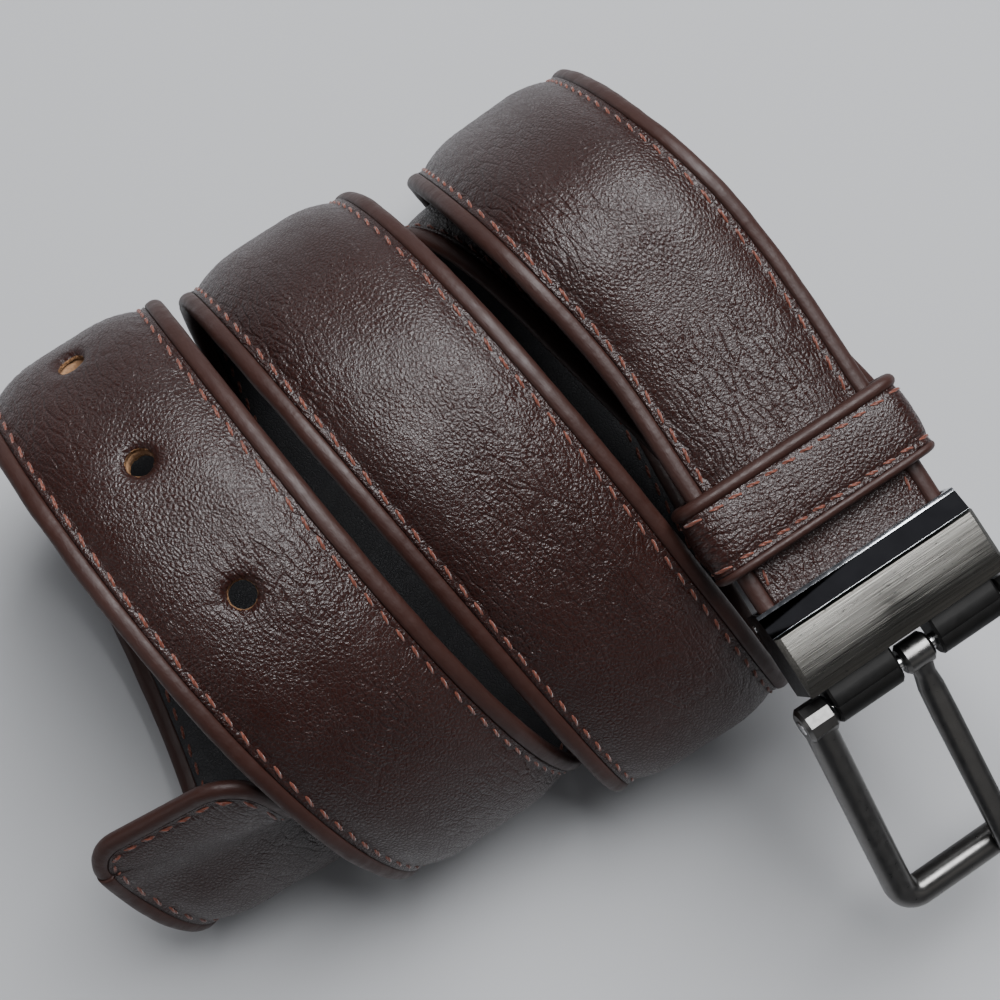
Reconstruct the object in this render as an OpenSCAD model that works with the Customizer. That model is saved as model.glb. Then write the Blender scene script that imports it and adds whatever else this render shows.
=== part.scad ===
// Padded leather dress belt, coiled on its side, with a clamp-on pin buckle.
// Millimetres. +Z up, the coil's axis near X, its turns in planes near Y and Z.
// A place on the strap is (s, v, n): along it from its clamped end, across it, and out of its face.
// The clamp's own axes: X across, Y into the strap from the clamp's mouth, Z out of the strap's face.

/* [Strap] */
// Strap width over both rims
strap_w = 35; // [34.5:0.1:35.2]
// Width of the smooth rolled rim
rim_w = 2.9; // [2.5:0.1:3.2]
// Thickness of the lining leather
lining_t = 1.0; // [0.7:0.1:1.0]
// Thickness of the face leather
face_t = 1.3; // [1.1:0.1:1.4]
// Height of the padding strip in the middle
pad_t = 1.9; // [1.2:0.1:1.9]
// Radius of the two corners of the tip
tip_r = 9; // [7:0.5:12]
// Greatest distance between neighbouring sections of the strap
ring_step = 10; // [9.5:0.5:12]

/* [Holes] */
// Number of adjustment holes
hole_count = 7; // [5:1:7]
// Radius of each punched hole
hole_r = 2.3; // [1.8:0.1:2.5]
// Distance between neighbouring holes
hole_pitch = 25; // [24:0.5:25]
// Distance along the strap to the hole nearest the buckle
first_hole = 823; // [815:1:830]

/* [Keeper] */
// Length of the keeper along the strap
keeper_len = 14; // [12:0.5:14]
// Thickness of the keeper's outer leather
keeper_t = 1.3; // [1.0:0.1:1.4]
// Thickness of the keeper's lining
keeper_lining_t = 0.7; // [0.5:0.1:0.8]
// Inside width of the keeper
keeper_in_w = 36.6; // [36.2:0.1:37]
// Inside height of the keeper
keeper_in_h = 5.6; // [5.4:0.1:6]
// Distance from the clamp's mouth to the middle of the keeper
keeper_at = 13.5; // [13:0.5:15]

/* [Clamp] */
// Outside width of the clamp
clamp_w = 37.4; // [37.2:0.1:39]
// Length of the clamp case along the strap
clamp_len = 14.5; // [14:0.5:16]
// Thickness of the face plate
plate_t = 1.5; // [1.2:0.1:2]
// Angle of the clamped end of the strap below the horizontal
clamp_slope = 10; // [8:1:12]
// Radius of the jaw's hinge pin
jaw_pin_r = 0.6; // [0.5:0.05:0.7]

/* [Buckle] */
// Radius of the pivot bar
pivot_r = 1.25; // [1:0.05:1.4]
// Running clearance round the pivot bar and the jaw's pin
pivot_gap = 0.06; // [0.03:0.01:0.1]
// Outside width of the buckle frame
frame_w = 43; // [42.5:0.5:46]
// Distance from the pivot to the middle of the frame's end bar
frame_len = 40; // [36:0.5:46]
// Thickness of the frame's arms and end bar
bar_t = 5; // [4:0.2:5.2]
// Angle of the frame below the line of the clamp
frame_droop = 27; // [20:1:40]

/* [Hidden] */
gap = 0.04;
inside = 14;
straight = 21;

// Moves the coil so that the belt's box stands centred on the origin
coil_at = [55.4, 25.8, -1.4];
// Middle of the clamp's mouth
mouth = coil_at + [-7, -50.5, 58];
// Control points of the coil beyond the clamp: [x, y, z, lean], in the order that the strap runs.
// Lean turns the strap about its own run, in degrees.
TURNS = [
    // first turn: top, far side, along the ground, near side
    [-13, 21, 74, 1], [-12, 48, 45, 5], [-3, 60, 2, 2], [7, -40, 2, 0],
    // second turn, nested inside the first, and back over the first turn's ground run
    [2, -42, 46, 0], [-8, -4, 52, 0], [-14, 38, 54, 0], [-26, 47, 14, 0], [-34.5, -66, 8, 0],
    // third turn
    [-41, -60, 42, 2], [-51, -4, 78, 1], [-56, 46, 65, 1], [-54, 62, 2, 1], [-67.5, -46, 2, 0],
    // fourth turn, with the holes on its top
    [-77.5, -58, 31, 0], [-89, -24, 79, 2], [-94, 52, 74, 2], [-90.5, 53, 2.5, -2], [-104, -53, 2, 2],
    // the tip, curled up
    [-117, -31, 37, 6], [-116, -32, 45, 20], [-120, -24.5, 54, 26]
];

// ---- the coil's middle line ----

function tilt(v, a) = [v.x, v.y * cos(a) - v.z * sin(a), v.y * sin(a) + v.z * cos(a)];
function unit(v) = v / norm(v);

clamp_dir = tilt([0, 1, 0], clamp_slope);
clamp_rows = [for (k = [0:3]) concat(mouth + clamp_dir * (k * straight - inside), 0)];
turn_rows = [for (c = TURNS) [c[0] + coil_at.x, c[1] + coil_at.y, c[2] + coil_at.z, c[3]]];
rows = concat(clamp_rows, turn_rows);
spans = len(rows) - 1;
line = concat([2 * rows[0] - rows[1]], rows, [2 * rows[spans] - rows[spans - 1]]);

// A uniform cubic B-spline: value and slope at u, from 0 at the clamp to spans at the tip
function blend(t) = [
    pow(1 - t, 3), 3 * pow(t, 3) - 6 * t * t + 4, 3 * (t + t * t - pow(t, 3)) + 1, pow(t, 3)] / 6;
function turn_rate(t) = [-pow(1 - t, 2), 3 * t * t - 4 * t, 1 + 2 * t - 3 * t * t, t * t] / 2;
function span_of(u) = min(floor(u), spans - 1);
function mixed(i, w) = line[i] * w[0] + line[i + 1] * w[1] + line[i + 2] * w[2] + line[i + 3] * w[3];
function row_at(u) = mixed(span_of(u), blend(u - span_of(u)));
function run_at(u) = mixed(span_of(u), turn_rate(u - span_of(u)));
function xyz(r) = [r[0], r[1], r[2]];

// Length along the line, as a table from length to u
fine = 16;
trail = [for (k = [0:spans * fine]) xyz(row_at(k / fine))];
length_to_u = [for (k = 0, s = 0; k <= spans * fine;
                    s = s + (k < spans * fine ? norm(trail[k + 1] - trail[k]) : 0), k = k + 1) [s, k / fine]];
strap_len = length_to_u[spans * fine][0];

// Frame of the strap at s: [middle, across, along, out of the face]
function framed(p, a, t, n, lean) = [p, a * cos(lean) + n * sin(lean), t, n * cos(lean) - a * sin(lean)];
function frame_from(row, t, a) = framed(xyz(row), a, t, cross(a, t), row[3]);
function frame_of(row, t) = frame_from(row, t, unit([1, 0, 0] - t.x * t));
function frame_at(s) = frame_of(row_at(lookup(s, length_to_u)), unit(xyz(run_at(lookup(s, length_to_u)))));
function placed(f, v, n) = f[0] + f[1] * v + f[3] * n;

// ---- sections of the strap ----

half_w = strap_w / 2;
face_half = half_w - rim_w;
inner_r = tip_r - rim_w;
corner_s = strap_len - tip_r;
glue_n = -0.9;
edge_n = glue_n + face_t;
lining_n = glue_n - lining_t;
pad_half = face_half - 2.4;
corner_angles = [22.5:22.5:90];
long_steps = ceil(corner_s / ring_step);

// The bonded layers end inside the rim, with round corners at the tip
straight_stations = [for (k = [0:long_steps]) [k * corner_s / long_steps, 1]];
corner_stations = [for (a = corner_angles)
    [corner_s + inner_r * sin(a), 1 - inner_r * (1 - cos(a)) / face_half]];
stations = concat(straight_stations, corner_stations);

// The padding rises after the clamp and dies away before the tip
function ease(x) = let (t = max(0, min(1, x))) t * t * (3 - 2 * t);
function pad_rise(s) = ease((s - inside - 2) / 12) * ease((strap_len - 14 - s) / 14);

// The section keeps a slight crown where there is no padding
least_rise = 0.15;
function face_section(s) = let (h = face_half, p = pad_t * max(least_rise, pad_rise(s))) [
    [-h, edge_n], [1.6 - h, edge_n - 0.12], [3.2 - h, edge_n + 0.3 * p],
    [6 - h, edge_n + 0.82 * p], [-4, edge_n + p],
    [4, edge_n + p], [h - 6, edge_n + 0.82 * p],
    [h - 3.2, edge_n + 0.3 * p], [h - 1.6, edge_n - 0.12], [h, edge_n],
    [h, glue_n], [pad_half, glue_n], [pad_half - 3.4, glue_n + 0.8 * p], [4, glue_n + 0.96 * p],
    [-4, glue_n + 0.96 * p], [3.4 - pad_half, glue_n + 0.8 * p], [-pad_half, glue_n], [-h, glue_n]
];
filler_points = [
    [0.1 - pad_half, 0], [3.5 - pad_half, 0.8], [-4, 0.96],
    [4, 0.96], [pad_half - 3.5, 0.8], [pad_half - 0.1, 0]];
function filler_section(s) = let (low = glue_n + gap / 2, rise = pad_t * pad_rise(s) - gap)
    [for (p = filler_points) [p.x, low + rise * p.y]];
lining_section = [[-face_half, glue_n - gap], [-pad_half, glue_n - gap], [pad_half, glue_n - gap],
                  [face_half, glue_n - gap], [face_half, lining_n], [face_half - 1.5, lining_n],
                  [1.5 - face_half, lining_n], [-face_half, lining_n]];
rim_section = [
    [gap, lining_n], [gap, edge_n + 0.15], [0.5 * rim_w, edge_n + 0.25],
    [0.9 * rim_w, edge_n - 0.3], [rim_w, glue_n + 0.1], [0.85 * rim_w, lining_n + 0.15]];
face_thread_section = [
    [-1.3, edge_n + 0.1], [-1.3, edge_n + 0.4], [-0.6, edge_n + 0.4], [-0.6, edge_n + 0.1]];
lining_thread_section = [for (p = face_thread_section) [p.x, p.y - edge_n + lining_n - 0.5]];

// A closed skin over a stack of rings drawn with the same section. Each side face is cut along the
// diagonal that climbs to the right, so that layers that meet keep the same flats.
module skin(rings, section) {
    n = len(section);
    last = (len(rings) - 1) * n;
    points = [for (ring = rings) each ring];
    sides = [for (a = [0:n:last - n], j = [0:n - 1])
        let (k = (j + 1) % n) each section[k].x > section[j].x
            ? [[a + j, a + k, a + n + k], [a + j, a + n + k, a + n + j]]
            : [[a + j, a + k, a + n + j], [a + k, a + n + k, a + n + j]]];
    ends = [for (j = [0:n / 2 - 2]) each [
        [n - 1 - j, n - 2 - j, j + 1, j], [last + j, last + j + 1, last + n - 2 - j, last + n - 1 - j]]];
    polyhedron(points, concat(sides, ends), convexity = 20);
}

// Rings across the whole strap, narrowed towards the tip
function cross_ring(section, station) = let (f = frame_at(station[0]))
    [for (p = section) placed(f, p.x * station[1], p.y)];

// Rings along the strap's outline: up the left side, round the tip and back down the right
left_run = [for (st = straight_stations) [st[0], -face_half, 0, -1]];
left_turn = [for (a = corner_angles)
    [corner_s + inner_r * sin(a), -face_half + inner_r * (1 - cos(a)), sin(a), -cos(a)]];
tip_run = [for (k = [-1:1]) [strap_len - rim_w, k * (face_half - inner_r) * 0.6, 1, 0]];
left_side = concat(left_run, left_turn);
right_side = [for (k = [len(left_side) - 1:-1:0]) let (e = left_side[k]) [e[0], -e[1], e[2], -e[3]]];
outline = concat(left_side, tip_run, right_side);
function outline_ring(section, e, tip_lift = 0) = [for (p = section)
    placed(frame_at(e[0] + p.x * e[2]), e[1] + p.x * e[3], p.y + tip_lift * e[2])];
function outside_clamp(list) = [for (e = list) if (e[0] > inside + 1) e];

module holes(r) {
    for (k = [0:hole_count - 1])
        on_strap(first_hole + k * hole_pitch)
            cylinder(r = r, h = 14, center = true, $fn = 32);
}

module on_strap(s) {
    f = frame_at(s);
    multmatrix([[f[1].x, f[2].x, f[3].x, f[0].x], [f[1].y, f[2].y, f[3].y, f[0].y],
                [f[1].z, f[2].z, f[3].z, f[0].z], [0, 0, 0, 1]])
        children();
}

// ---- strap ----

module strap_face() {
    color("#3a1f1b") difference() {
        skin([for (st = stations) cross_ring(face_section(st[0]), st)], face_section(0));
        holes(hole_r);
    }
}

module strap_filler() {
    filled = [for (st = straight_stations) if (pad_rise(st[0]) > 0.08) st];
    color("#8d6a4c") difference() {
        skin([for (st = filled) cross_ring(filler_section(st[0]), st)], filler_points);
        holes(hole_r);
    }
}

module strap_lining() {
    color("#2c2a2c") difference() {
        skin([for (st = stations) cross_ring(lining_section, st)], lining_section);
        holes(hole_r);
    }
}

module strap_rim() {
    color("#6b3a30") skin([for (e = outline) outline_ring(rim_section, e)], rim_section);
}

module seam(section, tip_lift) {
    color("#8a4a33")
        skin([for (e = outside_clamp(outline)) outline_ring(section, e, tip_lift)], section);
}

// Across the tip the face's seam climbs onto the crown
module face_thread() {
    seam(face_thread_section, pad_t * least_rise + gap);
}

module lining_thread() {
    seam(lining_thread_section, 0);
}

// ---- keeper ----

module at_clamp() {
    translate(mouth) rotate([clamp_slope, 0, 0]) children();
}

keeper_mid_n = 0.1;
keeper_rim_len = 1.6;
keeper_outer_h = keeper_in_h + 2 * (keeper_t + keeper_lining_t);

// Rectangle with round corners
module rounded(w, h, r) {
    square([w - 2 * r, h], center = true);
    square([w, h - 2 * r], center = true);
    for (x = [-1, 1], y = [-1, 1])
        translate([x * (w / 2 - r), y * (h / 2 - r)]) circle(r = r, $fn = 32);
}

// Tube round the strap, from inside size plus in_t to inside size plus out_t
module sleeve(in_t, out_t, length, y = 0) {
    at_clamp() translate([0, keeper_at + y + length / 2, keeper_mid_n]) rotate([90, 0, 0])
        linear_extrude(length) difference() {
            rounded(keeper_in_w + 2 * out_t, keeper_in_h + 2 * out_t, 1 + out_t);
            rounded(keeper_in_w + 2 * in_t, keeper_in_h + 2 * in_t, 1 + in_t);
        }
}

module keeper_band() {
    color("#3a1f1b")
        sleeve(keeper_lining_t + gap / 2, keeper_lining_t + keeper_t, keeper_len - 2 * keeper_rim_len);
}

module keeper_lining() {
    color("#2c2a2c") sleeve(0, keeper_lining_t - gap / 2, keeper_len - 2 * keeper_rim_len);
}

module keeper_rims() {
    color("#6b3a30") for (side = [-1, 1])
        sleeve(0, keeper_lining_t + keeper_t + 0.2, keeper_rim_len - gap,
               side * (keeper_len - keeper_rim_len + gap) / 2);
}

module keeper_thread() {
    outer = keeper_lining_t + keeper_t;
    color("#8a4a33") for (side = [-1, 1])
        sleeve(outer + gap / 2, outer + 0.3, 0.7, side * (keeper_len / 2 - keeper_rim_len - 0.7));
}

// Wire staple across the butt joint on the strap's back
module keeper_staple() {
    wire_r = 0.4;
    leg_x = 4;
    color("silver") at_clamp()
        translate([0, keeper_at, keeper_mid_n - keeper_outer_h / 2]) {
            translate([0, 0, -wire_r]) rotate([0, 90, 0])
                cylinder(r = wire_r, h = 2 * leg_x + 2 * wire_r, center = true, $fn = 24);
            for (x = [-leg_x, leg_x])
                translate([x, 0, -wire_r]) cylinder(r = wire_r, h = wire_r + 1.6, $fn = 24);
        }
}

// ---- clamp ----

case_top = 3.6;
case_low = -4.2;
cavity_top = 0.9;
cavity_low = -2.3;
lip_top = 2.0;
bevel_len = 4;
wall = 0.9;
jaw_half = 14;
jaw_pin_at = [-2, -3.15];
pivot_at = [-18.5, -0.8];
block_half = 15.8;

// Outline in the clamp's Y and Z, drawn across its width
module across(width) {
    rotate([90, 0, 90]) linear_extrude(width, center = true) children();
}

// Round bar or bore across the clamp, at [y, z]
module across_round(at, r, length) {
    translate([0, at.x, at.y]) rotate([0, 90, 0]) cylinder(r = r, h = length, center = true, $fn = 48);
}

module box_between(low, high) {
    translate(low) cube(high - low);
}

module clamp_case() {
    color("#1d1d20") at_clamp() difference() {
        across(clamp_w) polygon([
            [0, case_low], [0, lip_top], [-0.6, lip_top + 0.35], [-bevel_len, case_top],
            [-clamp_len, case_top], [-clamp_len, case_low]]);
        box_between([wall - clamp_w / 2, -clamp_len + 0.3, cavity_low], [clamp_w / 2 - wall, 1, cavity_top]);
        box_between([-jaw_half - 0.2, -clamp_len + 0.9, case_low - 1], [jaw_half + 0.2, 1, 0]);
        across_round(jaw_pin_at, jaw_pin_r, clamp_w + 2);
    }
}

module clamp_face_plate() {
    bevel = 0.8;
    w = clamp_w / 2;
    color("#b9b6ae") at_clamp() intersection() {
        across(clamp_w) polygon([
            [-bevel_len, case_top + gap], [-bevel_len - 0.4, case_top + plate_t], [-11.6, case_top + plate_t],
            [-clamp_len - 0.3, case_top + 0.5 * plate_t], [-clamp_len - 0.3, case_top + gap]]);
        rotate([90, 0, 0]) linear_extrude(60, center = true) polygon([
            [-w, 0], [w, 0], [w, case_top + plate_t - bevel], [w - bevel, case_top + plate_t],
            [bevel - w, case_top + plate_t], [-w, case_top + plate_t - bevel]]);
    }
}

module hinge_block() {
    prong_notch = 3.7;
    color("#3a3835") at_clamp() difference() {
        union() {
            box_between([-block_half, pivot_at.x, -3.6], [block_half, -clamp_len - gap, 2.6]);
            across_round(pivot_at, 2.8, 2 * block_half);
        }
        box_between([-prong_notch, pivot_at.x - 4, -5], [prong_notch, pivot_at.x + 3.4, 5]);
        across_round(pivot_at, pivot_r + 0.02, 2 * block_half + 2);
    }
}

module clamp_jaw() {
    tooth = 0.5;
    color("#8f8d88") at_clamp() difference() {
        union() {
            box_between([-jaw_half, -clamp_len + 1.2, -4.1], [jaw_half, jaw_pin_at.x, -2.75]);
            across_round(jaw_pin_at, 0.95, 2 * jaw_half);
            for (y = [-6, -8.5, -11])
                across(2 * jaw_half - 2) polygon([[y - 0.6, -2.8], [y, -2.8 + tooth], [y + 0.6, -2.8]]);
        }
        across_round(jaw_pin_at, jaw_pin_r + pivot_gap, 2 * jaw_half + 2);
    }
}

module clamp_jaw_pin() {
    color("silver") at_clamp() across_round(jaw_pin_at, jaw_pin_r - 0.01, clamp_w + 0.4);
}

// ---- frame and prong, both on the pivot bar ----

module at_pivot() {
    at_clamp() translate([0, pivot_at.x, pivot_at.y]) rotate([frame_droop, 0, 0]) children();
}

bar_r = bar_t / 2;
corner_r = 5;

module pivot_bar() {
    color("#c9c7c2") at_clamp() across_round(pivot_at, pivot_r, frame_w + 0.3);
}

// Plan of the U frame, from the pivot line to the outside of the end bar
module frame_plan() {
    far = -frame_len - bar_r;
    difference() {
        union() {
            translate([-frame_w / 2, far + corner_r]) square([frame_w, -far - corner_r]);
            translate([corner_r - frame_w / 2, far]) square([frame_w - 2 * corner_r, corner_r + 1]);
            for (side = [-1, 1])
                translate([side * (frame_w / 2 - corner_r), far + corner_r]) circle(r = corner_r, $fn = 48);
        }
        translate([-frame_w / 2 + bar_t, -frame_len + bar_r]) square([frame_w - 2 * bar_t, frame_len + 5]);
    }
}

module buckle_frame() {
    eyelet_r = 3.1;
    eyelet_w = frame_w / 2 - block_half - 0.3;
    color("#4a4744") at_pivot() difference() {
        union() {
            linear_extrude(bar_t, center = true) frame_plan();
            for (side = [-1, 1])
                translate([side * (frame_w - eyelet_w) / 2, 0, 0]) rotate([0, 90, 0])
                    cylinder(r = eyelet_r, h = eyelet_w, center = true, $fn = 48);
        }
        rotate([0, 90, 0]) cylinder(r = pivot_r + pivot_gap, h = frame_w + 2, center = true, $fn = 48);
        box_between([-block_half - 0.3, -3.4, -4], [block_half + 0.3, 4, 4]);
    }
}

module buckle_prong() {
    shank_w = 4.4;
    over = bar_r + 0.35;
    color("#5a5753") at_pivot() difference() {
        union() {
            rotate([0, 90, 0]) cylinder(r = 2.7, h = 5.4, center = true, $fn = 48);
            across(shank_w) polygon([
                [0, -0.9], [0, 2.4], [-6, 2.2], [4 - frame_len, over + 2.2], [-frame_len, over + 2.1],
                [-frame_len - 2.6, over + 1.1], [-frame_len - 2.6, over], [3 - frame_len, over], [-7, -0.9]]);
        }
        rotate([0, 90, 0]) cylinder(r = pivot_r + pivot_gap, h = 20, center = true, $fn = 48);
    }
}

strap_face();
strap_filler();
strap_lining();
strap_rim();
face_thread();
lining_thread();
keeper_band();
keeper_lining();
keeper_rims();
keeper_thread();
keeper_staple();
clamp_case();
clamp_face_plate();
hinge_block();
clamp_jaw();
clamp_jaw_pin();
pivot_bar();
buckle_frame();
buckle_prong();
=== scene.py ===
"""Looks of the padded leather belt with a clamp-on pin buckle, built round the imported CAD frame.

Lengths are millimetres until add_piece() turns them into metres. A place on the strap is (s, v, n):
along it from its clamped end, across it, and out of its face. The clamp's own axes are X across,
Y along the strap away from the clamp's mouth, and Z out of the strap's face.
"""

import math

import bmesh
import bpy
import numpy as np
from mathutils import Matrix, Vector


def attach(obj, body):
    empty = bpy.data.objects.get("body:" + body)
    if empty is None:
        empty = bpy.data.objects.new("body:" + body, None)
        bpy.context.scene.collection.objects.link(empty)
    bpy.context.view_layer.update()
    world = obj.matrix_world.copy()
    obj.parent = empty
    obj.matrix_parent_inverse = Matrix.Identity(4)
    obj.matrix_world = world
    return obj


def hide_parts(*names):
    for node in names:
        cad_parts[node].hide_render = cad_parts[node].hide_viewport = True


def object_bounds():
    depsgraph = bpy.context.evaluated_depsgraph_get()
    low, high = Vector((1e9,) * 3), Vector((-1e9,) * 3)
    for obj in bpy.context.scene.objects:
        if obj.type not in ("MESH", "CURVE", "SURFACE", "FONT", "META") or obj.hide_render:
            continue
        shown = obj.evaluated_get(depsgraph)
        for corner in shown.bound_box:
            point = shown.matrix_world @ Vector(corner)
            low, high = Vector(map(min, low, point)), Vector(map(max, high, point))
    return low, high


MM = 0.001

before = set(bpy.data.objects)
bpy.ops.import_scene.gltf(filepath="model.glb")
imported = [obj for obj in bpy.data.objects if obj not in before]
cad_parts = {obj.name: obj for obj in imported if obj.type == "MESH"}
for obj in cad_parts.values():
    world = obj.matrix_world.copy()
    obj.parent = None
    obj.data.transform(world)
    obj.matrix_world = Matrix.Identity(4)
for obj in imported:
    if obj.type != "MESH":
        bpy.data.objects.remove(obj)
cad_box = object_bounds()

# ---- the belt's dimensions, as in the CAD source ----

STRAP_W = 35.0
RIM_W = 2.9
PAD_T = 1.9
PAD_SLOPE_W = 3.4
# The padding board starts and ends this far from the strap's two ends
PAD_START = 19
PAD_END = 17
TIP_R = 9.0
# Heights from the strap's middle line: where the leathers meet, the face at the rim, the lining
GLUE_N = -0.9
EDGE_N = 0.4
LINING_N = -1.9
HOLE_COUNT = 7
HOLE_PITCH = 25.0
FIRST_HOLE = 823.0
# Radius of a hole where the face dips into it. Its wall is about a sixth narrower.
HOLE_MOUTH = 2.65
STITCH_PITCH = 3.75
SEAM_IN = 1.0
INSIDE_CLAMP = 14.0
STRAIGHT = 21.0
CLAMP_SLOPE = math.radians(10)
COIL_AT = np.array([55.4, 25.8, -1.4])
MOUTH = COIL_AT + [-7, -50.5, 58]
# The coil's control points after the straight run, [x, y, z, lean in degrees], as the strap runs
TURNS = [
    # first turn: top, far side, along the ground, near side
    [-13, 21, 74, 1], [-12, 48, 45, 5], [-3, 60, 2, 2], [7, -40, 2, 0],
    # second turn, nested inside the first, and back over the first turn's ground run
    [2, -42, 46, 0], [-8, -4, 52, 0], [-14, 38, 54, 0], [-26, 47, 14, 0], [-34.5, -66, 8, 0],
    # third turn
    [-41, -60, 42, 2], [-51, -4, 78, 1], [-56, 46, 65, 1], [-54, 62, 2, 1], [-67.5, -46, 2, 0],
    # fourth turn, with the holes on its top
    [-77.5, -58, 31, 0], [-89, -24, 79, 2], [-94, 52, 74, 2], [-90.5, 53, 2.5, -2],
    [-104, -53, 2, 2],
    # the tip, curled up
    [-117, -31, 37, 6], [-116, -32, 45, 20], [-120, -24.5, 54, 26],
]

# Half widths and corner radius of the bonded layers inside the rim
FACE_HALF = STRAP_W / 2 - RIM_W
PAD_HALF = FACE_HALF - 2.4
INNER_R = TIP_R - RIM_W


def unit(v):
    return v / np.linalg.norm(v, axis=-1, keepdims=True)


def ease(x):
    """A smooth step from 0 to 1."""
    t = np.clip(x, 0, 1)
    return t * t * (3 - 2 * t)


def ridge(x, at, width):
    """A soft ridge, 1 high, across a place."""
    return np.exp(-(((x - at) / width) ** 2))


class Coil:
    """The strap's middle line, a uniform cubic B-spline, with a place for every (s, v, n)."""

    def __init__(self):
        run = np.array([0, math.cos(CLAMP_SLOPE), math.sin(CLAMP_SLOPE)])
        clamped = [[*(MOUTH + run * (k * STRAIGHT - INSIDE_CLAMP)), 0] for k in range(4)]
        rows = np.array(clamped + [[*(COIL_AT + t[:3]), t[3]] for t in TURNS])
        self.line = np.vstack([2 * rows[0] - rows[1], rows, 2 * rows[-1] - rows[-2]])
        self.spans = len(rows) - 1
        self.u = np.linspace(0, self.spans, 16 * self.spans + 1)
        steps = np.linalg.norm(np.diff(self.row(self.u)[:, :3], axis=0), axis=1)
        self.s = np.concatenate([[0], np.cumsum(steps)])
        self.length = self.s[-1]

    def mixed(self, u, weights):
        """The four control rows about each u, added up with the spline's weights."""
        i = np.minimum(u.astype(int), self.spans - 1)
        return sum(w[:, None] * self.line[i + k] for k, w in enumerate(weights(u - i)))

    def row(self, u):
        """Places and leans."""
        return self.mixed(u, lambda t: [
            (1 - t) ** 3 / 6,
            (3 * t**3 - 6 * t**2 + 4) / 6,
            (1 + 3 * (t + t**2 - t**3)) / 6,
            t**3 / 6])

    def run(self, u):
        """How the row changes along the strap."""
        return self.mixed(u, lambda t: [
            -((1 - t) ** 2) / 2, (3 * t**2 - 4 * t) / 2, (1 + 2 * t - 3 * t**2) / 2, t**2 / 2])

    def frames(self, s):
        """Middle, across, along and out of the face, at each s."""
        u = np.interp(s, self.s, self.u)
        row = self.row(u)
        along = unit(self.run(u)[:, :3])
        across = unit(np.array([1.0, 0, 0]) - along[:, :1] * along)
        out = np.cross(across, along)
        lean = np.radians(row[:, 3:])
        turned = across * np.cos(lean) + out * np.sin(lean)
        return row[:, :3], turned, along, out * np.cos(lean) - across * np.sin(lean)

    def place(self, s, v, n):
        """Points in the belt's frame for places on the strap."""
        s, v, n = (a.astype(float) for a in np.broadcast_arrays(s, v, n))
        middle, across, _, out = self.frames(s.ravel())
        points = middle + across * v.reshape(-1, 1) + out * n.reshape(-1, 1)
        return points.reshape(*s.shape, 3)

    def bend(self, s):
        """How sharply the strap bends, as 1 / radius."""
        step = 2
        _, _, before, _ = self.frames(s.ravel() - step)
        _, _, after, _ = self.frames(s.ravel() + step)
        return (np.linalg.norm(after - before, axis=1) / (2 * step)).reshape(s.shape)


coil = Coil()
STRAP_LEN = coil.length
CORNER_S = STRAP_LEN - TIP_R
HOLES = [FIRST_HOLE + k * HOLE_PITCH for k in range(HOLE_COUNT)]


# ---- repeatable noise for the leather's relief ----


def scatter(ix, iy, seed):
    """A fixed number from 0 to 1 for each whole (ix, iy)."""
    h = np.sin(ix * 127.1 + iy * 311.7 + seed * 74.7) * 43758.5453
    return h - np.floor(h)


def noise(x, y, seed=0):
    """Smooth noise from -1 to 1 with features about 1 wide."""
    ix, iy = np.floor(x), np.floor(y)
    fx, fy = ease(x - ix), ease(y - iy)
    low = scatter(ix, iy, seed) * (1 - fx) + scatter(ix + 1, iy, seed) * fx
    high = scatter(ix, iy + 1, seed) * (1 - fx) + scatter(ix + 1, iy + 1, seed) * fx
    return 2 * (low * (1 - fy) + high * fy) - 1


def cell_edge(x, y, seed=0):
    """Distance from the edge of scattered cells about 1 wide: 0 on an edge."""
    ix, iy = np.floor(x), np.floor(y)
    best = np.full(np.shape(x), 9.0)
    second = best.copy()
    for dx in (-1, 0, 1):
        for dy in (-1, 0, 1):
            cx, cy = ix + dx, iy + dy
            far = np.hypot(cx + scatter(cx, cy, seed) - x, cy + scatter(cx, cy, seed + 5) - y)
            second = np.minimum(second, np.maximum(best, far))
            best = np.minimum(best, far)
    return second - best


def leather_relief(s, v):
    """Seams between pebbles, wandering creases in patches, and a gentle swell, in mm."""
    p = s + 2.5 * noise(s / 9, v / 7, 1)
    q = v + 2.5 * noise(s / 8, v / 9, 2)
    seams = ridge(cell_edge(p / 2.3, q / 2.0, 3), 0, 0.22)
    slanted = p * 0.35 + q
    creases = ridge(cell_edge(p / 6.5, slanted / 2.1, 4), 0, 0.2)
    patch = ease(0.5 + 1.4 * noise(s / 34, v / 17, 6))
    swell = noise(s / 16, v / 11, 7)
    return -0.035 * seams * (1 - 0.5 * patch) - 0.07 * creases * patch + 0.05 * swell


# ---- the strap's section ----


def pad_rise(s):
    """Height of the padding, which thins towards the clamp and the tip."""
    rise = ease((s - INSIDE_CLAMP - 2) / 12) * ease((STRAP_LEN - 14 - s) / 14)
    return PAD_T * np.maximum(0.15, rise)


def half_width(s):
    """Half width of the bonded layers, less where the tip's corners are rounded."""
    a = np.arcsin(np.clip((s - CORNER_S) / INNER_R, 0, 1))
    return FACE_HALF - INNER_R * (1 - np.cos(a))


def from_rim(s, v):
    """Distance in from the rim."""
    return np.minimum(half_width(s) - np.abs(v), STRAP_LEN - RIM_W - s)


def hole_distance(s, v):
    return np.min([np.hypot(s - at, v) for at in HOLES], axis=0)


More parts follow.
